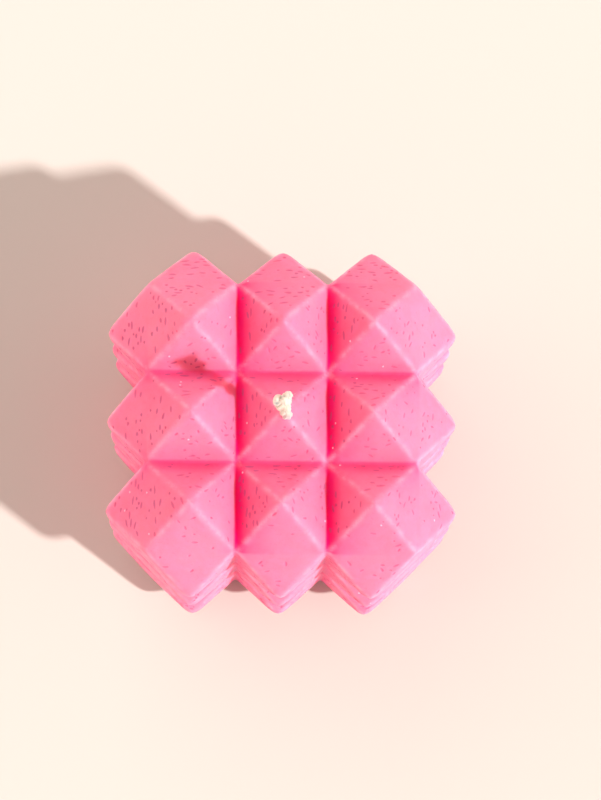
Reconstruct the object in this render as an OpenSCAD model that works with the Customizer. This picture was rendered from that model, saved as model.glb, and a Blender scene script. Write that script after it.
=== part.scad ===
// Facet-cube candle: a cast wax cube covered in square pyramids, with a braided cotton wick
// and a stamped sustainer in its base. Millimetres, +Z up, origin at the centre of the flat base.

/* [Wax body] */
// Width of one square cell, which is also the height of one tier
cell = 15; // [12:0.5:24]
// Cells along each side, odd so that the wick leaves through a point
cells = 3; // [3:2:5]
// Tiers of cells from the base to the top
tiers = 3; // [1:1:5]
// Slope of the pyramid faces, in degrees from the face of the cube
facet_slope = 45; // [30:1:45]
// Radius worn onto the points by casting
point_r = 1.5; // [0.3:0.1:2.5]

/* [Wick] */
// Length of wick that stands out of the wax
wick_out = 9.5; // [4:0.5:20]
// Radius of one bundle of yarn
strand_r = 0.38; // [0.2:0.01:0.38]
// How far a bundle swings across the flat of the braid
braid_width = 0.85; // [0.85:0.05:1.1]
// How far a bundle swings through the thickness of the braid
braid_depth = 0.55; // [0.55:0.05:0.7]
// Length of braid in which a bundle comes back to its place
braid_pitch = 7; // [7:0.5:10]
// Place of the left bundle in its swing at the tip, in degrees
braid_start = -55; // [-180:5:180]
// Sideways shift of the wick's tip, towards +X
tip_shift = 0; // [-2:0.1:2]
// Lean of the wick's tip, towards +Y
tip_lean = 0.6; // [-2:0.1:2]
// How much further apart the cut ends stand than the braid below them
splay = 0.6; // [0:0.1:1.5]

/* [Sustainer] */
// Radius of the sustainer's disc
disc_r = 7.5; // [5:0.5:9]
// Height of the neck above the disc
neck_h = 4; // [2:0.5:8]
// Thickness of the tinplate
tin_t = 0.3; // [0.2:0.05:0.5]

/* [Hidden] */

BODY_W = cells * cell;
BODY_H = tiers * cell;
FACET_H = cell / 2 * tan(facet_slope);
APEX_Z = BODY_H + FACET_H;
ARC_STEPS = 4;             // straight pieces in each rounded point of an outline
OVERCUT = 1;               // how far a cutter reaches past the wax
CLEARANCE = 0.05;          // gap between the wax or tinplate and what it holds

WICK_R = braid_width + strand_r;
CHANNEL_R = WICK_R + CLEARANCE;
WAX_EXIT_Z = APEX_Z - CHANNEL_R * tan(facet_slope);
TIP_Z = WAX_EXIT_Z + wick_out;
RINGS_PER_PITCH = 12;
STRAND_SIDES = 6;
// Each cut end stops a little short of the tip: left, rear and front bundle
END_DROP = [0.3, 0, 0.1];

RECESS_H = 0.6;            // depth of the pocket for the sustainer's disc
DISC_Z = 0.2;              // underside of the disc, up inside the pocket
WICK_Z = DISC_Z + tin_t;   // the wick is trimmed level with the disc's upper face
NECK_R = CHANNEL_R + tin_t;

WAX = "palevioletred";
COTTON = "cornsilk";
TINPLATE = "silver";

// ---- Outlines ----

// Points of the arc that rounds corner b of the path a-b-c to radius r
function rounded_corner(a, b, c, r) =
    let (
        u = (a - b) / norm(a - b),
        v = (c - b) / norm(c - b),
        half = acos(u * v) / 2,
        centre = b + (u + v) / norm(u + v) * r / sin(half),
        start = b + u * r / tan(half) - centre,
        finish = b + v * r / tan(half) - centre,
        span = 180 - 2 * half
    )
    [for (i = [0 : ARC_STEPS])
        let (t = span * i / ARC_STEPS)
        centre + (start * sin(span - t) + finish * sin(t)) / sin(span)];

// A toothed side of n cells at distance reach from the centre, drawn left to right facing +Y
function side(n, reach) = [for (i = [1 : 2 * n - 1])
    [(i - n) * cell / 2, i % 2 == 1 ? reach + FACET_H : reach]];

// The same points turned clockwise by a number of quarter turns
function turned(points, quarters) =
    let (c = cos(90 * quarters), s = sin(90 * quarters))
    [for (p = points) [c * p.x + s * p.y, c * p.y - s * p.x]];

// Rounds every point that stands proud of the cell faces, and leaves the others sharp
function round_points(path, proud) =
    let (n = len(path))
    [for (i = [0 : n - 1])
        each (proud[i]
            ? rounded_corner(path[(i + n - 1) % n], path[i], path[(i + 1) % n], point_r)
            : [path[i]])];

// Which points of a side of n cells stand proud
function proud_flags(n) = [for (i = [1 : 2 * n - 1]) i % 2 == 1];

// Outline seen from above: four toothed sides
PLAN = round_points(
    [for (k = [0 : 3]) each turned(side(cells, BODY_W / 2), k)],
    [for (k = [0 : 3]) each proud_flags(cells)]);

// Outline seen from the front or the side: left side, top, right side and flat base
ELEVATION = round_points(
    concat(
        turned(side(tiers, BODY_W / 2), 3),
        [for (p = side(cells, BODY_H / 2)) p],
        turned(side(tiers, BODY_W / 2), 1),
        [[BODY_W / 2, -BODY_H / 2], [-BODY_W / 2, -BODY_H / 2]]),
    concat(proud_flags(tiers), proud_flags(cells), proud_flags(tiers), [false, false]));

// ---- Wax ----

// The elevation outline as a bar along Y, standing on the base plane
module toothed_bar() {
    reach = BODY_W / 2 + FACET_H + OVERCUT;
    translate([0, reach, BODY_H / 2])
        rotate([90, 0, 0])
            linear_extrude(2 * reach)
                polygon(ELEVATION);
}

// Three toothed bars at right angles leave a pyramid on every cell
module facet_cube() {
    intersection() {
        linear_extrude(APEX_Z + OVERCUT)
            polygon(PLAN);
        toothed_bar();
        rotate([0, 0, 90])
            toothed_bar();
    }
}

module wax_body() {
    color(WAX)
        difference() {
            facet_cube();
            // Wick channel, through the whole height
            translate([0, 0, -OVERCUT])
                cylinder(h = APEX_Z + 2 * OVERCUT, r = CHANNEL_R, $fn = 48);
            // Pocket for the sustainer's disc
            translate([0, 0, -OVERCUT])
                cylinder(h = RECESS_H + OVERCUT, r = disc_r + CLEARANCE, $fn = 96);
            // Pocket for the sustainer's neck
            cylinder(h = DISC_Z + neck_h + CLEARANCE, r = NECK_R + CLEARANCE, $fn = 48);
        }
}

// ---- Wick ----

// Bend of the wick above the wax: 0 where it leaves the wax, 1 at the tip
function bend(z) = pow(max(0, (z - WAX_EXIT_Z) / wick_out), 1.5);

// Centre of a bundle at height z. Bundles differ by a third of a turn, and the left one is bundle 0.
function strand_centre(k, z) =
    let (
        turn = 360 * (z - TIP_Z) / braid_pitch + 120 * k + braid_start,
        spread = 1 + splay * bend(z)
    )
    [
        tip_shift * bend(z) + spread * braid_width * sin(turn),
        tip_lean * bend(z) + spread * braid_depth * sin(2 * turn),
        z
    ];

// A round tube swept along a path that climbs in Z
module swept_tube(path, r, sides) {
    last = len(path) - 1;
    ring_points = [for (i = [0 : last])
        let (
            ahead = path[min(i + 1, last)] - path[max(i - 1, 0)],
            along = ahead / norm(ahead),
            side_raw = cross([0, 1, 0], along),
            across = side_raw / norm(side_raw),
            up = cross(along, across)
        )
        for (j = [0 : sides - 1])
            let (a = 360 * j / sides)
            path[i] + r * (cos(a) * across + sin(a) * up)];
    walls = [for (i = [0 : last - 1], j = [0 : sides - 1])
        let (next = (j + 1) % sides)
        each [
            [i * sides + j, (i + 1) * sides + j, i * sides + next],
            [i * sides + next, (i + 1) * sides + j, (i + 1) * sides + next]
        ]];
    bottom = [for (j = [0 : sides - 1]) j];
    top = [for (j = [sides - 1 : -1 : 0]) last * sides + j];
    polyhedron(ring_points, concat(walls, [bottom], [top]));
}

module wick_strand(k) {
    end_z = TIP_Z - END_DROP[k];
    rings = ceil((end_z - WICK_Z) / braid_pitch * RINGS_PER_PITCH);
    color(COTTON)
        swept_tube(
            [for (i = [0 : rings]) strand_centre(k, WICK_Z + (end_z - WICK_Z) * i / rings)],
            strand_r, STRAND_SIDES);
}

module wick_strand_left() {
    wick_strand(0);
}

module wick_strand_rear() {
    wick_strand(1);
}

module wick_strand_front() {
    wick_strand(2);
}

// ---- Sustainer ----

// Disc and neck stamped from one sheet
module wick_sustainer() {
    color(TINPLATE)
        translate([0, 0, DISC_Z])
            rotate_extrude($fn = 96)
                polygon([
                    [CHANNEL_R, 0],
                    [disc_r, 0],
                    [disc_r, tin_t],
                    [NECK_R, tin_t],
                    [NECK_R, neck_h],
                    [CHANNEL_R, neck_h]
                ]);
}

wax_body();
wick_strand_left();
wick_strand_rear();
wick_strand_front();
wick_sustainer();
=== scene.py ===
"""Looks of the facet-cube candle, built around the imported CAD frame. Metres, +Z up.

The wax is one mesh with softened ridges, casting pits and crumbs. The wick is three bundles of
twisted yarn. The sustainer is the CAD node itself with a tinplate material.
"""
import math
import random

import bpy
import numpy as np
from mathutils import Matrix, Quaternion, Vector, noise
from mathutils.geometry import delaunay_2d_cdt


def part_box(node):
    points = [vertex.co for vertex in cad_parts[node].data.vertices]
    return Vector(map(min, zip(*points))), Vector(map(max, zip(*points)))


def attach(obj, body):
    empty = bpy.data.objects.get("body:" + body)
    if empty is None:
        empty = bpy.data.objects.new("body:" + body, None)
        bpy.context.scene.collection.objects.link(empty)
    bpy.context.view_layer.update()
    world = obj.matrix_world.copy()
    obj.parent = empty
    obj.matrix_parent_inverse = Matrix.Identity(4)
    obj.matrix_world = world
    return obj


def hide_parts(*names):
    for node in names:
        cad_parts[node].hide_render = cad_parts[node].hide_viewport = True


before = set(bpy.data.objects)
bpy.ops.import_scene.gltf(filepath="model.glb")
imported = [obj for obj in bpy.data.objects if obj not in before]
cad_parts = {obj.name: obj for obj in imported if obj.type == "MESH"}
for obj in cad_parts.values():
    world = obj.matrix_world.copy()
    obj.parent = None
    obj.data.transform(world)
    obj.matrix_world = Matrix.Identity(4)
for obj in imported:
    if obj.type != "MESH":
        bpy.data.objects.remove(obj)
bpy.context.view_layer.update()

MM = 0.001

# ---- Sizes of the wax, from the CAD frame ----

WAX_LOW, WAX_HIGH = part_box("wax_body")
POINT_R = 1.5 * MM                      # rounding of the CAD's points
CLEARANCE = 0.05 * MM                   # gap between the wax and the sustainer
CHANNEL_R = 1.28 * MM                   # bore of the wick in the CAD
CELLS = 3                               # cells along each side, and tiers
CELL = (WAX_HIGH.x - WAX_LOW.x + 2 * POINT_R * (math.sqrt(2) - 1)) / (CELLS + 1)
BODY = CELLS * CELL                     # width and height of the cube under the pyramids
APEX_Z = BODY + CELL / 2

# Softness of the casting, as the rates of the smooth minimum and maximum, per metre
RIDGE_RATE = 2.2 / MM
VALLEY_RATE = 5.0 / MM
BASE_RATE = 4.0 / MM

# Mesh of one cell
COARSE_STEPS = 20                       # steps across a cell where the wax is flat
FINE_STEPS = 40                         # steps across a cell at ridges and valleys
RIDGE_BAND = 1.3 * MM                   # half width of the finely meshed band on a ridge
VALLEY_BAND = 0.5 * MM                  # and along the edges of a cell

# ---- Small helpers ----

NOISE_STEP = (7.31, 3.17, 5.93)         # how far apart two seeds sample the noise


def add_object(name, data):
    """A new object in the scene."""
    obj = bpy.data.objects.new(name, data)
    bpy.context.scene.collection.objects.link(obj)
    return obj


def smooth_noise(points, size, seed):
    """Gradient noise from about -1 to 1 at each point, with features of the given size."""
    offset = Vector([seed * step for step in NOISE_STEP])
    return np.array([noise.noise(Vector(p) / size + offset) for p in points])


def mesh_from(name, points, faces, attributes=None):
    """A smooth-shaded mesh object with float attributes on its points."""
    mesh = bpy.data.meshes.new(name)
    mesh.from_pydata([tuple(p) for p in points], [], [tuple(f) for f in faces])
    for label, values in (attributes or {}).items():
        layer = mesh.attributes.new(label, "FLOAT", "POINT")
        layer.data.foreach_set("value", np.asarray(values, np.float32))
    mesh.shade_smooth()
    mesh.validate()
    return add_object(name, mesh)


# ---- Camera, made first ----

AIM = Vector((3.0 * MM, 2.9 * MM, BODY))
CAMERA_DISTANCE = 0.5203
CAMERA_AZIMUTH = math.radians(6.5)      # the camera looks this far to the right of +Y
CAMERA_ELEVATION = math.radians(80.98)
CAMERA_ROLL = math.radians(6.99)
CAMERA_LENS = 141.83


def make_camera():
    """A long lens that looks almost straight down from the front left."""
    data = bpy.data.cameras.new("camera")
    data.lens = CAMERA_LENS
    data.sensor_width = 36
    data.clip_start = 0.05
    camera = add_object("camera", data)
    level = math.cos(CAMERA_ELEVATION)
    forward = Vector((
        math.sin(CAMERA_AZIMUTH) * level,
        math.cos(CAMERA_AZIMUTH) * level,
        -math.sin(CAMERA_ELEVATION),
    ))
    camera.location = AIM - CAMERA_DISTANCE * forward
    camera.rotation_mode = "QUATERNION"
    roll = Quaternion((0, 0, 1), CAMERA_ROLL)
    camera.rotation_quaternion = forward.to_track_quat("-Z", "Y") @ roll
    bpy.context.scene.camera = camera


make_camera()

# ---- Shape of the wax ----

NEWTON_STEPS = 4                        # steps that take a point onto the softened surface
LONGEST_STEP = 0.3 * MM
LEAST_SLOPE = 0.05                      # squared gradient taken where it is nearly nothing


def softened_distance(points):
    """Distance outside the softened body, and its gradient.

    Every cell of the body is a rhombic dodecahedron, twelve planes at 45 degrees, blended by a
    smooth maximum. The body is their smooth union, cut off by the base plane.
    """
    half = (CELLS - 1) / 2
    steps = (np.arange(CELLS) - half) * CELL
    centres = np.array([(x, y, z + BODY / 2) for x in steps for y in steps for z in steps])
    rate = RIDGE_RATE / math.sqrt(2)
    q = rate * (points[:, None, :] - centres[None, :, :])
    ch, sh = np.cosh(q), np.sinh(q)
    cx, cy, cz = ch[..., 0], ch[..., 1], ch[..., 2]
    total = cx * cy + cy * cz + cz * cx
    distance = np.log(4 * total) / RIDGE_RATE - CELL / math.sqrt(2)
    others = np.stack([cy + cz, cz + cx, cx + cy], -1)
    gradient = sh * others / total[..., None] / math.sqrt(2)
    # Smooth union of the cells
    nearest = distance.min(1, keepdims=True)
    share = np.exp(-VALLEY_RATE * (distance - nearest))
    weight = share.sum(1, keepdims=True)
    joined = nearest[:, 0] - np.log(weight[:, 0]) / VALLEY_RATE
    joined_gradient = (share[..., None] * gradient).sum(1) / weight
    # Smooth cut by the base plane
    below = -points[:, 2]
    top = np.maximum(joined, below)
    a = np.exp(BASE_RATE * (joined - top))
    b = np.exp(BASE_RATE * (below - top))
    result = top + np.log(a + b) / BASE_RATE
    down = np.array([0.0, 0.0, -1.0])
    slope = (a[:, None] * joined_gradient + b[:, None] * down) / (a + b)[:, None]
    return result, slope


def soften(points):
    """Moves points of the sharp body onto the softened one, and gives the outward normals."""
    moved = points.copy()
    for _ in range(NEWTON_STEPS):
        distance, slope = softened_distance(moved)
        steepness = np.maximum((slope ** 2).sum(1), LEAST_SLOPE)
        moved -= slope * np.clip(distance / steepness, -LONGEST_STEP, LONGEST_STEP)[:, None]
    slope = softened_distance(moved)[1]
    return moved, slope / np.linalg.norm(slope, axis=1, keepdims=True)


class Cell:
    """One square cell of the body's skin, with its pyramid."""

    def __init__(self, centre, along, up, neighbours):
        self.centre = np.array(centre)
        self.along = np.array(along, float)
        self.up = np.array(up, float)
        self.out = np.cross(self.along, self.up)
        self.neighbours = neighbours    # which of its edges +u, +v, -u, -v are valleys

    def surface(self, plan):
        """Points of the sharp pyramid over plan points that run from -0.5 to 0.5."""
        height = 0.5 - np.abs(plan).max(1)
        offsets = plan[:, :1] * self.along + plan[:, 1:] * self.up + height[:, None] * self.out
        return self.centre + CELL * offsets

    def facet_normal(self, facet):
        """Normal of facet +u, +v, -u or -v."""
        side = (self.along, self.up, -self.along, -self.up)[facet]
        return (side + self.out) / math.sqrt(2)


def all_cells():
    """The cells of the top and the four sides."""
    x, y, z = np.eye(3)
    middle = np.array([0, 0, BODY / 2])
    cells = []
    for along, up in ((x, y), (y, z), (-y, z), (x, z), (-x, z)):
        out = np.cross(along, up)
        for i in range(CELLS):
            for j in range(CELLS):
                shift = (i - (CELLS - 1) / 2) * along + (j - (CELLS - 1) / 2) * up
                centre = middle + out * BODY / 2 + shift * CELL
                neighbours = (i < CELLS - 1, j < CELLS - 1, i > 0, j > 0)
                cells.append(Cell(centre, along, up, neighbours))
    return cells


# ---- Pits and crumbs in the wax ----

# All radii of a pit are shares of its own size
PIT_GUARD = 1.25                        # ring of points that keeps the wax round a pit flat
WIDEST_RING = 1.2                       # more than any wobble can widen a ring
EDGE_ROOM = 1.15                        # room that a guard ring keeps to the edges of its facet
PAIR_ROOM = (1.1, 1.25)                 # and two of them to each other
PIT_RINGS = (                           # radius, points, share of the depth and of the painted shade
    (0.0, 1, 1.0, 1.0),
    (0.6, 5, 0.8, 1.0),
    (1.0, 10, 0.1, 1.0),
    (PIT_GUARD, 10, 0.0, 0.0),
)

# How many pits a facet has, and where they lie
PITS_ON_A_FACET = 18.0                  # on an upright facet that faces neither way
PIT_RISE = 0.75                         # more of them on a facet that faces up, as a share
PIT_LEAN = -9.0                         # fewer of them on a facet that faces +X
PIT_REAR = 5.0                          # and more on one that faces +Y
PIT_FRONT_EDGE = 0.4                    # share of them on a facet that ends a row at the front
PIT_COUNT_RANGE = (0.6, 1.5)            # from facet to facet, as a share of the mean
CLUSTERS = 3                            # clusters on a facet
CLUSTERED = 0.5                         # share of the pits that lie in them
CLUSTER_SIZE = 0.085                    # spread of a cluster, as a share of a cell
CELL_EDGE = 0.487                       # pits stay this near the middle of a cell, as a share of it
RIDGE_GAP = 0.2 * MM                    # and this far from its ridges

# Style of the pits: share of depth and of painted shade, size, and spread of direction in radians
SHADED_STYLE = (0.7, 1.0, 0.2)          # on a facet that faces -X or +Y
LIT_STYLE = (0.75, 0.75, 0.7)           # and on the others
FACING = 0.1                            # a facet faces a way if its normal reaches this far along it

# Shapes of the pits. A pair is a range, in mm where it is a length, at size 1 of the style.
DASHES = 0.7                            # share of the pits that are dashes and not round
DASH_LENGTH = (0.34, 0.75)              # half the length of a dash
DASH_WIDTH = (0.18, 0.25)               # and half its width
ROUND_R = (0.18, 0.3)                   # radius of a round pit
PIT_DEPTH = (0.1, 0.22)
PIT_WOBBLE = (0, 0.16)                  # unevenness of an outline, as a share of its radius
CRUMB_SHARE = 0.02                      # share of the marks that are crumbs standing on the wax
CRUMB_HEIGHT = 0.09 * MM
CRUMB_R = (0.16 * MM, 0.14 * MM)


class Pit:
    """A dimple, or a crumb where depth is negative, given in a cell's plan coordinates."""

    def __init__(self, centre, long_axis, short_axis, depth, mark, wobble, phase):
        self.centre = centre
        self.axes = np.stack([long_axis, short_axis])
        self.depth = depth
        self.mark = mark
        self.wobble = wobble
        self.phase = phase

    def ring(self, radius, count):
        """Points round the pit at a share of its size."""
        angle = np.arange(count) * 2 * math.pi / count + self.phase
        reach = radius * (1 + self.wobble * np.sin(3 * angle + 5 * self.phase))
        circle = np.stack([np.cos(angle) * reach, np.sin(angle) * reach], 1)
        return self.centre + circle @ self.axes


def facet_of(plan):
    """Facet index of plan points: 0 for +u, 1 for +v, 2 for -u, 3 for -v."""
    u, v = plan[:, 0], plan[:, 1]
    return np.where(np.abs(u) > np.abs(v), np.where(u > 0, 0, 2), np.where(v > 0, 1, 3))


def facet_point(facet, reach, across):
    """Plan point of a facet, from its distance from the apex and its place across."""
    return np.array(((reach, across), (-across, reach), (-reach, -across), (across, -reach))[facet])


def pits_of(cell, rng):
    """Pits scattered over a cell, long along its horizontal direction and clear of each other."""
    pits = []
    for facet in range(4):
        normal = cell.facet_normal(facet)
        level = np.cross((0, 0, 1), normal)
        level /= np.linalg.norm(level)
        slope = np.cross(normal, level)
        mean = PITS_ON_A_FACET + PIT_LEAN * normal[0] + PIT_REAR * normal[1]
        mean *= 1 + PIT_RISE * normal[2]
        if normal[1] < -FACING and not cell.neighbours[facet]:
            mean *= PIT_FRONT_EDGE
        clusters = []
        # The square roots here and in one_pit spread places evenly over the triangle
        for _ in range(CLUSTERS):
            reach = 0.48 * math.sqrt(rng.uniform(0.1, 0.9))
            clusters.append(facet_point(facet, reach, reach * rng.uniform(-0.8, 0.8)))
        style = SHADED_STYLE if normal[0] < -FACING or normal[1] > FACING else LIT_STYLE
        for _ in range(round(mean * rng.uniform(*PIT_COUNT_RANGE))):
            pit = one_pit(cell, facet, (level, slope), clusters, style, rng)
            if fits_on(pit, facet) and all(apart(pit, other) for other in pits):
                pits.append(pit)
    return pits


def fits_on(pit, facet):
    """True if a pit lies on its facet, clear of the ridges and of the cell's edges."""
    edge = pit.ring(PIT_GUARD * EDGE_ROOM, 12)
    inside = (facet_of(edge) == facet).all() and np.abs(edge).max() < CELL_EDGE
    ridge_gap = (np.abs(np.abs(edge[:, 0]) - np.abs(edge[:, 1]))).min() * CELL
    return inside and ridge_gap > RIDGE_GAP


def one_pit(cell, facet, directions, clusters, style, rng):
    """A round pit, a dash or a crumb, somewhere on a facet."""
    if rng.random() < CLUSTERED:
        offset = np.array([rng.gauss(0, CLUSTER_SIZE), rng.gauss(0, CLUSTER_SIZE)])
        centre = rng.choice(clusters) + offset
    else:
        reach = 0.5 * math.sqrt(rng.uniform(0.02, 0.92))
        centre = facet_point(facet, reach, reach * rng.uniform(-1, 1))
    mark, size, astray = style
    size *= MM
    if rng.random() < DASHES:
        long_r = rng.uniform(*DASH_LENGTH) * size
        short_r = rng.uniform(*DASH_WIDTH) * size
    else:
        long_r = rng.uniform(*ROUND_R) * size
        short_r = long_r * rng.uniform(0.7, 1)
    depth = rng.uniform(*PIT_DEPTH) * MM * mark
    if rng.random() < CRUMB_SHARE:
        depth, mark = -CRUMB_HEIGHT, -1
        long_r, short_r = CRUMB_R
    level, slope = [np.array([w @ cell.along, w @ cell.up]) / CELL for w in directions]
    turn = rng.gauss(0, astray)
    long_axis = level * math.cos(turn) + slope * math.sin(turn)
    short_axis = slope * math.cos(turn) - level * math.sin(turn)
    wobble = rng.uniform(*PIT_WOBBLE)
    phase = rng.uniform(0, 6.28)
    return Pit(centre, long_axis * long_r, short_axis * short_r, depth, mark, wobble, phase)


def apart(pit, other):
    """True if two pits, with their guard rings, don't touch."""
    gap = np.linalg.norm(pit.centre - other.centre)
    sizes = [np.linalg.norm(p.axes, axis=1).max() for p in (pit, other)]
    if gap > sum(sizes) * PIT_GUARD * WIDEST_RING:
        return True
    for one, two in ((pit, other), (other, pit)):
        edge = one.ring(PIT_GUARD * PAIR_ROOM[0], 20) - two.centre
        away = np.linalg.norm(edge @ np.linalg.inv(two.axes), axis=1)
        if away.min() < PIT_GUARD * PAIR_ROOM[1]:
            return False
    return True


# ---- Mesh of the wax ----

SAME_PLACE = 2e-3 * MM                  # points that are this close are one point


def grid_plan():
    """Plan points of a cell: fine at its ridges and edges, coarse on its flats."""
    fine = np.arange(FINE_STEPS + 1)
    i, j = [g.ravel() for g in np.meshgrid(fine, fine, indexing="ij")]
    plan = np.stack([i, j], 1) / FINE_STEPS - 0.5
    skip = FINE_STEPS // COARSE_STEPS
    coarse = (i % skip == 0) & (j % skip == 0)
    off_ridge = np.abs(np.abs(plan[:, 0]) - np.abs(plan[:, 1])) * CELL / math.sqrt(2)
    off_edge = (0.5 - np.abs(plan).max(1)) * CELL
    return plan[coarse | (off_ridge < RIDGE_BAND) | (off_edge < VALLEY_BAND)]


def triangulate(plan, edges=()):
    """Delaunay triangles of plan points, keeping the given edges."""
    result = delaunay_2d_cdt([Vector(p) for p in plan], list(edges), [], 0, 1e-9)
    return np.array([tuple(v) for v in result[0]]), result[2], result[3]


def cell_mesh(cell, base_plan, rng):
    """Plan points, triangles, how deep each point is, and how much painted shade it takes."""
    pits = pits_of(cell, rng)
    keep = np.ones(len(base_plan), bool)
    for pit in pits:
        local = (base_plan - pit.centre) @ np.linalg.inv(pit.axes)
        keep &= np.linalg.norm(local, axis=1) > PIT_GUARD * WIDEST_RING
    plan = [base_plan[keep]]
    depth = [np.zeros(keep.sum())]
    pitted = [np.zeros(keep.sum())]
    edges = []
    start = len(plan[0])
    for pit in pits:
        for radius, count, share, mark in PIT_RINGS:
            if radius >= 1:
                edges += [(start + k, start + (k + 1) % count) for k in range(count)]
            start += count
            plan.append(pit.ring(radius, count))
            depth.append(np.full(count, pit.depth * share))
            pitted.append(np.full(count, mark * pit.mark))
    plan, depth, pitted = np.concatenate(plan), np.concatenate(depth), np.concatenate(pitted)
    points, faces, origin = triangulate(plan, edges)
    # A point that the triangulation had to add lies on flat wax
    order = [o[0] if o else -1 for o in origin]
    return points, faces, np.append(depth, 0)[order], np.append(pitted, 0)[order]


# Painted shade in the valleys: deep colour, strongest on the sides that face away from the key light
VALLEY_REACH = 2.0 * MM                 # how far it climbs the sides of a valley
VALLEY_WIDTH = 5.0 * MM                 # and the weaker painted shade above that
VALLEY_WIDE_SHADE = 0.7                       # strength of the weaker painted shade
VALLEY_LEAST = 0.1                      # strength on the sides of a valley that face the light
VALLEY_LEFT = 0.9                       # more of it on those that face -X, away from the key light
VALLEY_REAR = 0.5                       # and on those that face +Y, also partly turned from it
VALLEY_ON_SIDES = 0.4                   # share of it in the valleys of the four sides

# Pale ridges: partly wear, partly painted highlight
RIDGE_WIDTH = 0.6 * MM                  # distance at which the wear and the painted highlight are down to about a third


def valley_painted_shade(cell, plan):
    """Strength of the painted shade: 1 in a valley between two pyramids, less higher up its sides and
    on the side of the light.
    """
    close = np.zeros(len(plan))
    sides = (plan[:, 0], plan[:, 1], -plan[:, 0], -plan[:, 1])
    for facet, (side, has_neighbour) in enumerate(zip(sides, cell.neighbours)):
        if has_neighbour:
            across, along, _ = cell.facet_normal(facet) * math.sqrt(2)
            shaded = VALLEY_LEAST + VALLEY_LEFT * max(0, -across) + VALLEY_REAR * max(0, along)
            near = VALLEY_LEAST + (1 - VALLEY_LEAST) * shaded
            away = (0.5 - side) * CELL
            band = near / (1 + (away / VALLEY_REACH) ** 3)
            wide_shade = VALLEY_WIDE_SHADE * shaded * np.exp(-away / VALLEY_WIDTH)
            close = np.maximum(close, np.maximum(band, wide_shade))
    return close * (1 if cell.out[2] > 0.5 else VALLEY_ON_SIDES)


def ridge_closeness(plan):
    """1 on a ridge of a pyramid, falling off within about half a millimetre."""
    off = np.abs(np.abs(plan[:, 0]) - np.abs(plan[:, 1])) * CELL / math.sqrt(2)
    return np.exp(-(off / RIDGE_WIDTH) ** 2)


# ---- Base of the wax, with the sustainer's pocket as the CAD has it ----

SUSTAINER_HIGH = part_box("wick_sustainer")[1]
POCKET_R = SUSTAINER_HIGH.x + CLEARANCE
POCKET_H = 0.6 * MM
NECK_R = CHANNEL_R + 0.3 * MM + CLEARANCE       # the neck is of sheet 0.3 mm thick
NECK_TOP = SUSTAINER_HIGH.z + CLEARANCE
POCKET_SIDES = 96
BASE_STEP = 1.5 * MM                    # distance between the points inside the base
BASE_STEPS = 14                         # and their number each way from the middle
BASE_GAP = 0.8 * MM                     # distance of the nearest of them from the pocket


def in_pocket(points):
    """Which points belong to the sustainer's pocket."""
    off_axis = np.hypot(points[:, 0], points[:, 1])
    return (off_axis < POCKET_R + SAME_PLACE) & (points[:, 2] < BODY / 2)


def base_mesh():
    """The flat base, its round pocket, and above that the narrow bore for the sustainer's neck."""
    edge = np.arange(CELLS * FINE_STEPS + 1) / FINE_STEPS * CELL - BODY / 2
    border = [(x, y) for x in edge for y in edge if max(abs(x), abs(y)) > BODY / 2 - SAME_PLACE]
    inner = np.arange(-BASE_STEPS, BASE_STEPS + 1) * BASE_STEP
    flat = [(x, y) for x in inner for y in inner if math.hypot(x, y) > POCKET_R + BASE_GAP]
    angles = [2 * math.pi * k / POCKET_SIDES for k in range(POCKET_SIDES)]
    rim = [(POCKET_R * math.cos(a), POCKET_R * math.sin(a)) for a in angles]
    start = len(border) + len(flat)
    rim_edges = [(start + k, start + (k + 1) % POCKET_SIDES) for k in range(POCKET_SIDES)]
    plan, triangles, _ = triangulate(border + flat + rim, rim_edges)
    points = [(x, y, 0) for x, y in plan]
    faces = []
    for f in triangles:
        off_axis = math.hypot(*np.mean([plan[i] for i in f], axis=0))
        if off_axis > POCKET_R * math.cos(math.pi / POCKET_SIDES):
            faces.append([f[0], f[2], f[1]])
    # Rings of the pocket, from the base plane up to the blind end of the neck's bore
    rings = ((POCKET_R, 0), (POCKET_R, POCKET_H), (NECK_R, POCKET_H), (NECK_R, NECK_TOP))
    first = len(points)
    for radius, height in rings:
        points += [(radius * math.cos(a), radius * math.sin(a), height) for a in angles]
    for r in range(len(rings) - 1):
        for k in range(POCKET_SIDES):
            a, b = first + r * POCKET_SIDES + k, first + r * POCKET_SIDES + (k + 1) % POCKET_SIDES
            faces += [[a, a + POCKET_SIDES, b], [b, a + POCKET_SIDES, b + POCKET_SIDES]]
    last = first + (len(rings) - 1) * POCKET_SIDES
    centre = len(points)
    points.append((0, 0, NECK_TOP))
    faces += [[last + k, centre, last + (k + 1) % POCKET_SIDES] for k in range(POCKET_SIDES)]
    return np.array(points, float), faces


# ---- The whole casting ----

# Height, size and seed of each swelling of the surface
SWELLS = ((0.045 * MM, 4.0 * MM, 1), (0.02 * MM, 1.3 * MM, 2))
PIT_SEED = 41
WORN_DEPTH = 0.2 * MM                   # wax lost at the most worn places of a ridge
WORN_SIZE = 1.1 * MM                    # size of those places
WORN_SEED = 3
FLAT_BELOW = 0.3 * MM                   # the wax is left as it is up to this height


def cells_and_base(rng):
    """Points, faces and the values on the points, of the pitted cells and the base together."""
    plain = grid_plan()
    points, faces = [], []
    values = {"depth": [], "mark": [], "valley": [], "ridge": []}
    count = 0
    for cell in all_cells():
        plan, triangles, depth, mark = cell_mesh(cell, plain, rng)
        points.append(cell.surface(plan))
        faces += [[i + count for i in f] for f in triangles]
        on_cell = (depth, mark, valley_painted_shade(cell, plan), ridge_closeness(plan))
        for parts, part in zip(values.values(), on_cell):
            parts.append(part)
        count += len(plan)
    base_points, base_faces = base_mesh()
    points.append(base_points)
    faces += [[i + count for i in f] for f in base_faces]
    zeros = np.zeros(len(base_points))
    values = {name: np.concatenate(parts + [zeros]) for name, parts in values.items()}
    return np.concatenate(points), faces, values


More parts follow.
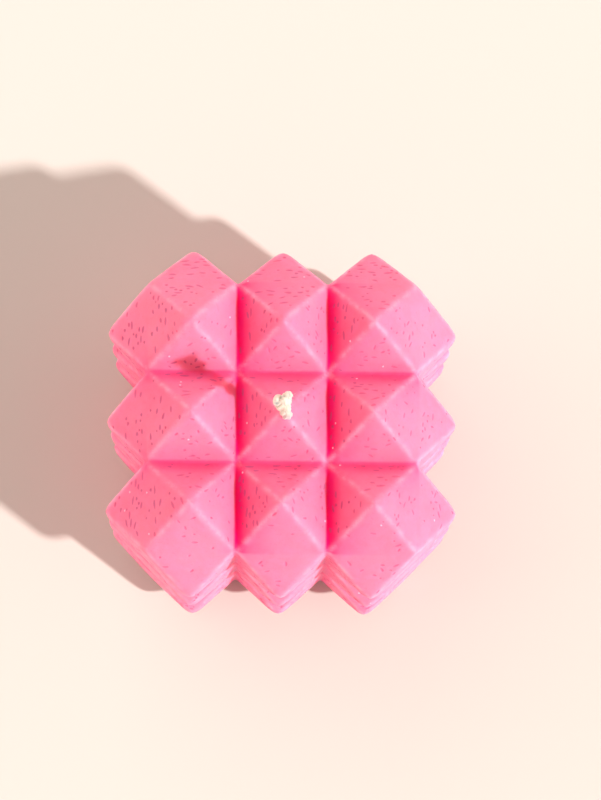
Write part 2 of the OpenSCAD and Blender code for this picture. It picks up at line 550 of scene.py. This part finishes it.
def merge_shared(points, faces, values):
    """Makes one point of those that neighbouring cells share."""
    places = np.round(points / SAME_PLACE).astype(np.int64)
    _, first, shared = np.unique(places, axis=0, return_index=True, return_inverse=True)
    shared = shared.ravel()
    faces = [[shared[i] for i in f] for f in faces]
    faces = [f for f in faces if len(set(f)) == 3]
    merged = {name: numbers[first] for name, numbers in values.items()}
    # A point in a valley keeps the stronger painted shade of its two sides
    merged["valley"] = np.zeros(len(first))
    np.maximum.at(merged["valley"], shared, values["valley"])
    return points[first], faces, merged


def make_wax():
    """The casting: 45 pitted pyramids on a flat base."""
    points, faces, values = merge_shared(*cells_and_base(random.Random(PIT_SEED)))
    pocket = in_pocket(points)
    moved, normals = soften(points)
    moved[pocket] = points[pocket]
    swell = sum(height * smooth_noise(moved, size, seed) for height, size, seed in SWELLS)
    wear = np.clip(smooth_noise(moved, WORN_SIZE, WORN_SEED), 0, 1)
    shift = swell - values["depth"] - values["ridge"] * wear * WORN_DEPTH
    shift[pocket | (moved[:, 2] < FLAT_BELOW)] = 0
    moved += normals * shift[:, None]
    return mesh_from("wax_casting", moved, faces, {
        "pit": np.clip(values["mark"], 0, 1),
        "crumb": np.clip(-values["mark"], 0, 1),
        # the valley values carry the painted shade of the valleys
        "valley": values["valley"],
        "ridge": values["ridge"],
    })


# ---- Wick ----

# Path of the braid, as the CAD frame has it
EXIT_Z = APEX_Z - CHANNEL_R             # where the wick leaves the wax
WICK_OUT = 9.5 * MM                     # length that stands out of it
TIP_Z = EXIT_Z + WICK_OUT
BRAID_WIDTH = 0.85 * MM                 # swing of a bundle across the flat of the braid
BRAID_DEPTH = 0.55 * MM                 # and through its thickness
BRAID_PITCH = 7.0 * MM
BRAID_START = math.radians(-55)         # place of the left bundle in its swing, at the tip
BEND_POWER = 1.5                        # the wick bends more and more towards its tip
TIP_SHIFT = 0.0 * MM                    # of the tip towards +X
TIP_LEAN = 0.6 * MM                     # and towards +Y

# Looks of the braid. In a pair, the second number is what is added on the way up to the tip.
FOOT_STEP = Vector((0.75, -0.65, 0)) * MM       # the braid comes out a little in front of the middle
FOOT_HEIGHT = 3.0 * MM                  # and is back on its path this far above the wax
SPREAD = (0.5, 0.7)                     # share of the CAD's swing
BUNDLE_R = (0.48 * MM, 0.28 * MM)
YARNS_ROUND = 6                         # yarns that lie round the middle one of a bundle
YARN_SHARE = 0.54                       # radius of a yarn, as a share of its bundle's
YARN_TWIST = 2 * math.pi / (6 * MM)     # turn of the yarns round their bundle, per metre
YARN_ASTRAY = 0.2                       # a yarn is at most this far, in radians, from its even place
YARN_SIDES = 8
YARN_UNEVEN = 0.14                      # change of a yarn's thickness along it, as a share
YARN_UNEVEN_SIZE = 1.1 * MM             # distance in which it changes
YARN_SEED = 7
CUT_SHARE = 0.8                         # thickness left at the end, which the scissors round off
CUT_UNEVEN = 0.1 * MM                   # the yarns of a bundle are cut this unevenly
FOOT_RISE = 0.1 * MM                    # the yarns start this far above the CAD's wick
SEEN_FROM = EXIT_Z - 1.5 * MM           # below this the yarns are out of sight and coarse
RING_STEP = (1.0 * MM, 0.22 * MM)       # distance between the rings of a yarn, below that and above

# Name, CAD node, place in the braid, distance of its end from the tip, and how far it strays there
BUNDLES = (
    ("wick_bundle_left", "wick_strand_left", 0, 0.3 * MM, Vector((-0.05, -0.2, 0)) * MM),
    ("wick_bundle_rear", "wick_strand_rear", 1, 0.0 * MM, Vector((0, 0, 0)) * MM),
    ("wick_bundle_front", "wick_strand_front", 2, 0.1 * MM, Vector((-0.2, 0.35, 0)) * MM),
)

# Loose fibres
HAIRS = 20                              # on each bundle
HAIRS_AT_TIP = 0.4                      # share of them that start within three rings of the cut
HAIR_LENGTH = (0.35, 1.0)               # in mm
HAIR_R = (0.014 * MM, 0.007 * MM)       # at the root and at the end
HAIR_CURL = 0.35


def bend_at(z):
    """0 where the wick leaves the wax, 1 at the tip."""
    return np.clip((z - EXIT_Z) / WICK_OUT, 0, None) ** BEND_POWER


def bundle_path(place, stray, z):
    """Centre line of a bundle of yarn at the given heights."""
    bend = bend_at(z)
    foot = np.exp(-((z - EXIT_Z) / FOOT_HEIGHT) ** 2)
    turn = 2 * math.pi * ((z - TIP_Z) / BRAID_PITCH + place / 3) + BRAID_START
    spread = SPREAD[0] + SPREAD[1] * bend
    x = (TIP_SHIFT + stray.x) * bend + FOOT_STEP.x * foot + spread * BRAID_WIDTH * np.sin(turn)
    y = (TIP_LEAN + stray.y) * bend + FOOT_STEP.y * foot + spread * BRAID_DEPTH * np.sin(2 * turn)
    return np.stack([x, y, z], 1)


def cross_frame(path):
    """Two directions square to a path, at each of its points."""
    ahead = np.gradient(path, axis=0)
    ahead /= np.linalg.norm(ahead, axis=1, keepdims=True)
    reference = np.eye(3)[np.abs(ahead).max(0).argmin()]
    aside = np.cross(reference, ahead)
    aside /= np.linalg.norm(aside, axis=1, keepdims=True)
    return aside, np.cross(ahead, aside)


def tube(path, radii, sides):
    """Points and faces of a closed tube along a path."""
    aside, above = cross_frame(path)
    angles = np.arange(sides) * 2 * math.pi / sides
    circle = np.cos(angles)[None, :, None] * aside[:, None]
    circle = circle + np.sin(angles)[None, :, None] * above[:, None]
    points = (path[:, None] + radii[:, None, None] * circle).reshape(-1, 3)
    faces = []
    for ring in range(len(path) - 1):
        for k in range(sides):
            a, b = ring * sides + k, ring * sides + (k + 1) % sides
            faces.append((a, b, b + sides, a + sides))
    last = (len(path) - 1) * sides
    faces.append(tuple(range(sides))[::-1])
    faces.append(tuple(range(last, last + sides)))
    return points, faces


def make_bundle(name, place, end_drop, stray, rng):
    """One bundle of the braid: twisted yarns with cut ends, and loose fibres."""
    foot_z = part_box("wick_strand_left")[0].z + FOOT_RISE
    points, faces = [], []
    count = 0

    def take(shape):
        nonlocal count
        points.append(shape[0])
        faces.extend(tuple(i + count for i in face) for face in shape[1])
        count += len(shape[0])

    yarns = []
    for yarn in range(YARNS_ROUND + 1):
        end_z = TIP_Z - end_drop - rng.uniform(0, CUT_UNEVEN)
        z = np.concatenate([
            np.arange(foot_z, SEEN_FROM, RING_STEP[0]),
            np.arange(SEEN_FROM, end_z, RING_STEP[1]),
            [end_z],
        ])
        centre = bundle_path(place, stray, z)
        aside, above = cross_frame(centre)
        radius = BUNDLE_R[0] + BUNDLE_R[1] * bend_at(z)
        if yarn < YARNS_ROUND:
            angle = 2 * math.pi * yarn / YARNS_ROUND + YARN_TWIST * z
            angle += rng.uniform(-YARN_ASTRAY, YARN_ASTRAY)
            offset = radius * (1 - YARN_SHARE)
            centre = centre + (offset * np.cos(angle))[:, None] * aside
            centre = centre + (offset * np.sin(angle))[:, None] * above
        wander = smooth_noise(centre, YARN_UNEVEN_SIZE, yarn + (YARNS_ROUND + 1) * place)
        thick = radius * YARN_SHARE * (1 + YARN_UNEVEN * wander)
        thick[-1] *= CUT_SHARE
        yarns.append((centre, thick))
        take(tube(centre, thick, YARN_SIDES))
    for _ in range(HAIRS):
        take(hair(yarns, rng))
    return mesh_from(name, np.concatenate(points), faces)


def hair(yarns, rng):
    """A loose fibre that leaves a yarn and curls away."""
    centre, thick = rng.choice(yarns[:YARNS_ROUND])
    # It starts in the upper four tenths of the rings, or right at the cut
    ring = rng.randrange(len(centre) * 6 // 10, len(centre) - 1)
    if rng.random() < HAIRS_AT_TIP:
        ring = len(centre) - 1 - rng.randrange(3)
    around = rng.uniform(0, 2 * math.pi)
    outward = np.array([math.cos(around), math.sin(around), rng.uniform(-0.2, 0.9)])
    outward /= np.linalg.norm(outward)
    curl = np.array([rng.gauss(0, 1), rng.gauss(0, 1), rng.gauss(0, 0.7)])
    length = rng.uniform(*HAIR_LENGTH) * MM
    share = np.linspace(0, 1, 6)[:, None]
    start = centre[ring] + outward * thick[ring] * 0.6
    path = start + length * (share * outward + HAIR_CURL * share ** 2 * curl)
    return tube(path, np.linspace(*HAIR_R, len(share)), 4)


# ---- Materials ----

MIX_FACTOR, MIX_A, MIX_B, MIX_RESULT = 0, 6, 7, 2     # sockets of a mix of colours


class Nodes:
    """Shorthand for building a node tree."""

    def __init__(self, tree):
        self.tree = tree

    def add(self, kind, **settings):
        node = self.tree.nodes.new(kind)
        for key, value in settings.items():
            setattr(node, key, value)
        return node

    def link(self, source, target):
        self.tree.links.new(source, target)

    def put(self, node, socket, value):
        """Links a socket, or sets a constant."""
        if isinstance(value, bpy.types.NodeSocket):
            self.link(value, node.inputs[socket])
        else:
            node.inputs[socket].default_value = value

    def maths(self, operation, *values):
        node = self.add("ShaderNodeMath", operation=operation)
        for index, value in enumerate(values):
            self.put(node, index, value)
        return node.outputs["Value"]

    def ramp(self, value, low, high, out_low=0.0, out_high=1.0, kind="LINEAR"):
        """Maps low..high to out_low..out_high, held at the ends."""
        node = self.add("ShaderNodeMapRange", interpolation_type=kind, clamp=True)
        self.put(node, "Value", value)
        for socket, number in (("From Min", low), ("From Max", high),
                               ("To Min", out_low), ("To Max", out_high)):
            node.inputs[socket].default_value = number
        return node.outputs["Result"]

    def coordinates(self, kind):
        return self.add("ShaderNodeTexCoord").outputs[kind]

    def split(self, vector):
        """The X, Y and Z of a vector."""
        node = self.add("ShaderNodeSeparateXYZ")
        self.link(vector, node.inputs["Vector"])
        return node.outputs


class Material(Nodes):
    """The nodes of a new material, with its shader in place."""

    def __init__(self, name):
        self.material = bpy.data.materials.new(name)
        self.material.use_nodes = True
        super().__init__(self.material.node_tree)
        self.tree.nodes.clear()
        self.shader = self.add("ShaderNodeBsdfPrincipled")
        output = self.add("ShaderNodeOutputMaterial")
        self.link(self.shader.outputs["BSDF"], output.inputs["Surface"])

    def attribute(self, name):
        return self.add("ShaderNodeAttribute", attribute_name=name).outputs["Fac"]

    def position(self, stretch=(1, 1, 1)):
        """Object coordinates in metres, scaled along each axis."""
        mapping = self.add("ShaderNodeMapping")
        mapping.inputs["Scale"].default_value = stretch
        self.link(self.coordinates("Object"), mapping.inputs["Vector"])
        return mapping.outputs["Vector"]

    def noise(self, size, detail=2.0, rough=0.5, vector=None):
        node = self.add("ShaderNodeTexNoise")
        self.put(node, "Scale", 1 / size)
        self.put(node, "Detail", detail)
        self.put(node, "Roughness", rough)
        self.link(vector or self.position(), node.inputs["Vector"])
        return node.outputs["Fac"]

    def mix(self, factor, a, b):
        """Mix of two colours."""
        node = self.add("ShaderNodeMix", data_type="RGBA")
        self.put(node, MIX_FACTOR, factor)
        for index, colour in ((MIX_A, a), (MIX_B, b)):
            if isinstance(colour, bpy.types.NodeSocket):
                self.link(colour, node.inputs[index])
            else:
                node.inputs[index].default_value = (*colour, 1)
        return node.outputs[MIX_RESULT]

    def bump(self, height, strength, distance, normal=None):
        node = self.add("ShaderNodeBump")
        self.put(node, "Height", height)
        node.inputs["Strength"].default_value = strength
        node.inputs["Distance"].default_value = distance
        if normal is not None:
            self.link(normal, node.inputs["Normal"])
        return node.outputs["Normal"]


WAX_PINK = (0.79, 0.185, 0.295)
WAX_MAUVE = (0.76, 0.21, 0.35)
# painted shade in the valleys
WAX_PAINTED_VALLEY_SHADE = (0.80, 0.002, 0.15)
WAX_PALE = (0.88, 0.31, 0.43)
# wear and painted highlight on the ridges
WAX_WORN_AND_HIGHLIGHT = (0.90, 0.37, 0.49)
# painted shade in the pits and the fine pores
WAX_PIT_SHADE = (0.46, 0.075, 0.19)
WAX_WHITE = (0.92, 0.48, 0.60)

# Size of the marks in the wax's colour, and how much of their colour shows
CLOUDS = (6 * MM, 0.16)
PATCHES = (1.9 * MM, 0.5)
PORES = (0.5 * MM, 0.15)                # painted shade of fine pores, too small for the mesh
WEAR_AND_HIGHLIGHT_STREAKS = (2.2 * MM, 0.15, 0.6)    # least and most of the pale colour along a ridge, wear and painted highlight
# share of the painted shade in the pits
PIT_SHADE_SHARE = 0.85
CRUMB_PALE = 0.8

WAX_IOR = 1.43
WAX_SHINE = 0.14
WAX_ROUGH = (0.42, 0.62)
WAX_SCATTER = (6.0, 0.1, 0.13)          # reach of red, green and blue in the wax
WAX_SCATTER_SIZE = 1.4 * MM             # for a reach of 1

# Layer lines of the mould's master run level round the candle
LAYER_STEP = 0.6 * MM
LAYER_DEPTH = 0.02 * MM
BANDS_IN_A_METRE = 3.2                  # that a wave texture of scale 1 draws, about

# Other bumps: size, detail and roughness of the noise, strength and height
WAX_BUMPS = (
    (1.2 * MM, 2, 0.5, 0.5, 0.08 * MM),
    (0.35 * MM, 3, 0.6, 0.4, 0.04 * MM),
)


def wax_material():
    """Dyed wax that light goes into: paler on ridges by wear and painted highlight, deeper in valleys
    and pits by painted shade.
    """
    n = Material("pink_wax")
    cloudy = n.ramp(n.noise(CLOUDS[0], 3), 0.38, 0.62)
    patchy = n.ramp(n.noise(PATCHES[0], 3, 0.55), 0.42, 0.62)
    pores = n.ramp(n.noise(PORES[0], 2, 0.5), 0.60, 0.72)
    colour = n.mix(n.maths("MULTIPLY", cloudy, CLOUDS[1]), WAX_PINK, WAX_PALE)
    colour = n.mix(n.maths("MULTIPLY", patchy, PATCHES[1]), colour, WAX_MAUVE)
    # Painted shade of fine pores
    colour = n.mix(n.maths("MULTIPLY", pores, PORES[1]), colour, WAX_PIT_SHADE)
    # Painted shade: deep colour in the valleys, strongest on the sides turned from the key light
    colour = n.mix(n.attribute("valley"), colour, WAX_PAINTED_VALLEY_SHADE)
    # Pale ridges: partly wear, partly painted highlight
    size, least, most = WEAR_AND_HIGHLIGHT_STREAKS
    streaks = n.ramp(n.noise(size, 3, 0.55), 0.4, 0.65, least, most)
    wear_and_highlight = n.maths("MULTIPLY", n.maths("POWER", n.attribute("ridge"), 1.4), streaks)
    colour = n.mix(wear_and_highlight, colour, WAX_WORN_AND_HIGHLIGHT)
    # Painted shade in the pits
    pit = n.attribute("pit")
    colour = n.mix(n.maths("MULTIPLY", pit, PIT_SHADE_SHARE), colour, WAX_PIT_SHADE)
    colour = n.mix(n.maths("MULTIPLY", n.attribute("crumb"), CRUMB_PALE), colour, WAX_WHITE)
    n.put(n.shader, "Base Color", colour)
    rough = n.ramp(n.noise(0.7 * MM, 3), 0.3, 0.7, *WAX_ROUGH)
    n.put(n.shader, "Roughness", n.maths("MAXIMUM", rough, pit))
    n.put(n.shader, "IOR", WAX_IOR)
    n.put(n.shader, "Specular IOR Level", WAX_SHINE)
    n.put(n.shader, "Subsurface Weight", n.ramp(pit, 0, 1, 0.95, 0.3))
    n.put(n.shader, "Subsurface Radius", WAX_SCATTER)
    n.put(n.shader, "Subsurface Scale", WAX_SCATTER_SIZE)
    layers = n.add("ShaderNodeTexWave", wave_type="BANDS", bands_direction="Z")
    n.put(layers, "Scale", 1 / LAYER_STEP / BANDS_IN_A_METRE)
    n.put(layers, "Distortion", 0.6)
    n.put(layers, "Detail", 1.0)
    n.link(n.position(), layers.inputs["Vector"])
    layered = n.ramp(n.noise(5 * MM, 2), 0.42, 0.62)
    layer_height = n.maths("MULTIPLY", layers.outputs["Fac"], layered)
    normal = n.bump(layer_height, 0.3, LAYER_DEPTH)
    for size, detail, uneven, strength, height in WAX_BUMPS:
        normal = n.bump(n.noise(size, detail, uneven), strength, height, normal)
    n.put(n.shader, "Normal", normal)
    return n.material


COTTON = (0.61, 0.49, 0.385)
COTTON_SHADE = (0.56, 0.44, 0.335)
COTTON_WAXED = (0.63, 0.47, 0.46)
# unsoaked cut ends with painted light on them
COTTON_CUT_AND_LIGHT = (0.78, 0.585, 0.47)
COTTON_FIBRE = 0.1 * MM                 # width of the fibres that the material draws
FIBRE_STRETCH = (1, 1, 0.14)            # they are drawn out along Z
COTTON_SCATTER = (0.8, 0.75, 0.7)
COTTON_SCATTER_SIZE = 0.6 * MM
WAX_CREEP = (1.2 * MM, 3.6 * MM)        # heights above the wax between which the pink soaking fades
FRAYED = (1.1 * MM, 0.5 * MM)           # distances from the tip between which the cut cotton pales, partly unsoaked cut ends and partly painted light


def cotton_material():
    """Undyed cotton yarn, soaked with pink wax near the candle."""
    n = Material("braided_cotton")
    fibres = n.noise(COTTON_FIBRE, 3, 0.6, n.position(FIBRE_STRETCH))
    uneven = n.ramp(n.noise(0.9 * MM, 2), 0.35, 0.65)
    colour = n.mix(n.ramp(fibres, 0.45, 0.7, 0.0, 0.55), COTTON, COTTON_SHADE)
    height = n.split(n.coordinates("Object"))["Z"]
    level = n.maths("ADD", height, n.maths("MULTIPLY", uneven, 1.2 * MM))
    waxed = n.ramp(level, EXIT_Z + WAX_CREEP[0], EXIT_Z + WAX_CREEP[1], 0.85, 0.0)
    # Paler towards the tip: partly unsoaked cut cotton, partly painted light on the shaded cut ends
    cut_and_light = n.ramp(height, TIP_Z - FRAYED[0], TIP_Z - FRAYED[1])
    n.put(n.shader, "Base Color", n.mix(cut_and_light, n.mix(waxed, colour, COTTON_WAXED), COTTON_CUT_AND_LIGHT))
    n.put(n.shader, "Roughness", n.ramp(waxed, 0, 1, 0.85, 0.5))
    n.put(n.shader, "Subsurface Weight", 1.0)
    n.put(n.shader, "Subsurface Radius", COTTON_SCATTER)
    n.put(n.shader, "Subsurface Scale", COTTON_SCATTER_SIZE)
    n.put(n.shader, "Sheen Weight", 0.25)
    n.put(n.shader, "Sheen Roughness", 0.5)
    n.put(n.shader, "Normal", n.bump(fibres, 0.4, 0.03 * MM))
    return n.material


TIN = (0.80, 0.79, 0.76)
TIN_DULL = (0.58, 0.57, 0.55)
ROLLING_STRETCH = (0.04, 1, 1)          # the streaks of rolling are drawn out along X


def tinplate_material():
    """Tin-plated steel sheet with the streaks of rolling, dull patches and fine scratches."""
    n = Material("tinplate")
    streaks = n.noise(0.35 * MM, 3, 0.6, n.position(ROLLING_STRETCH))
    dull = n.ramp(n.noise(2.6 * MM, 4, 0.6), 0.45, 0.7)
    n.put(n.shader, "Base Color", n.mix(n.maths("MULTIPLY", dull, 0.7), TIN, TIN_DULL))
    n.put(n.shader, "Metallic", 1.0)
    rolled = n.ramp(streaks, 0.35, 0.65, 0.24, 0.4)
    n.put(n.shader, "Roughness", n.maths("ADD", rolled, n.maths("MULTIPLY", dull, 0.15)))
    n.put(n.shader, "Normal", n.bump(streaks, 0.25, 0.01 * MM))
    return n.material


FLOOR_PALE = (0.61, 0.54, 0.485, 1)


def floor_material():
    """Plain pale tabletop."""
    n = Material("pale_floor")
    n.put(n.shader, "Base Color", FLOOR_PALE)
    n.put(n.shader, "Roughness", 0.8)
    return n.material


# ---- Pieces ----

wax = make_wax()
wax.data.materials.append(wax_material())
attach(wax, "root")
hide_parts("wax_body")

cotton = cotton_material()
yarn_rng = random.Random(YARN_SEED)
for bundle_name, cad_node, place, end_drop, stray in BUNDLES:
    bundle = make_bundle(bundle_name, place, end_drop, stray, yarn_rng)
    bundle.data.materials.append(cotton)
    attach(bundle, "root")
    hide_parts(cad_node)

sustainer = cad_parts["wick_sustainer"]
sustainer.material_slots[0].material = tinplate_material()

# ---- Stage and light ----

FLOOR_SIZE = 3.0
FLOOR_GAP = 0.02 * MM


def make_floor():
    """A large pale plane, a hair below the flat base of the candle."""
    half = FLOOR_SIZE / 2
    square = ((-half, -half), (half, -half), (half, half), (-half, half))
    floor = mesh_from("floor", [(x, y, -FLOOR_GAP) for x, y in square], [(0, 1, 2, 3)])
    floor.data.materials.append(floor_material())


WHITE = (1.0, 1.0, 1.0)
BOUNCED = (1.0, 0.89, 0.83)             # light that has bounced off the pale surroundings

# Name, azimuth from +X towards -Y, elevation and width in degrees, energy, colour
LAMPS = (
    ("key", 28, 37.1, 2.5, 4.6, WHITE),
    ("window", -5, 35, 60, 0.3, WHITE),
    ("fill", 218, 34, 90, 1.7, BOUNCED),
)

# Axis, side and light of each wall
WALLS = (("X", 1, 1.6), ("X", -1, 2.1), ("Y", 1, 1.7), ("Y", -1, 1.6))
CEILING_LIGHT = 0.05
WALL_FADE = (0.3, 0.95)                 # sine of the elevations between which the walls fade


def soft_sun(name, azimuth, elevation, width, energy, colour):
    """A distant lamp, with its angles in degrees."""
    data = bpy.data.lights.new(name, "SUN")
    data.energy = energy
    data.angle = math.radians(width)
    data.color = colour
    lamp = add_object(name, data)
    around, up = math.radians(azimuth), math.radians(elevation)
    level = math.cos(up)
    towards = Vector((math.cos(around) * level, -math.sin(around) * level, math.sin(up)))
    lamp.rotation_mode = "QUATERNION"
    lamp.rotation_quaternion = towards.to_track_quat("Z", "Y")


def make_surroundings():
    """Four pale walls that fade upwards into a dim ceiling."""
    world = bpy.data.worlds.new("surroundings")
    world.use_nodes = True
    n = Nodes(world.node_tree)
    direction = n.split(n.coordinates("Generated"))
    light = 0
    for axis, side, strength in WALLS:
        facing = n.maths("MAXIMUM", n.maths("MULTIPLY", direction[axis], side), 0)
        light = n.maths("MULTIPLY_ADD", n.maths("MULTIPLY", facing, facing), strength, light)
    above = n.ramp(direction["Z"], *WALL_FADE, kind="SMOOTHSTEP")
    walls = n.maths("MULTIPLY", light, n.maths("SUBTRACT", 1, above))
    background = n.tree.nodes["Background"]
    n.put(background, "Color", (*BOUNCED, 1))
    n.put(background, "Strength", n.maths("MULTIPLY_ADD", above, CEILING_LIGHT, walls))
    bpy.context.scene.world = world


make_floor()
make_surroundings()
for lamp_settings in LAMPS:
    soft_sun(*lamp_settings)
bpy.context.scene.view_settings.view_transform = "Standard"
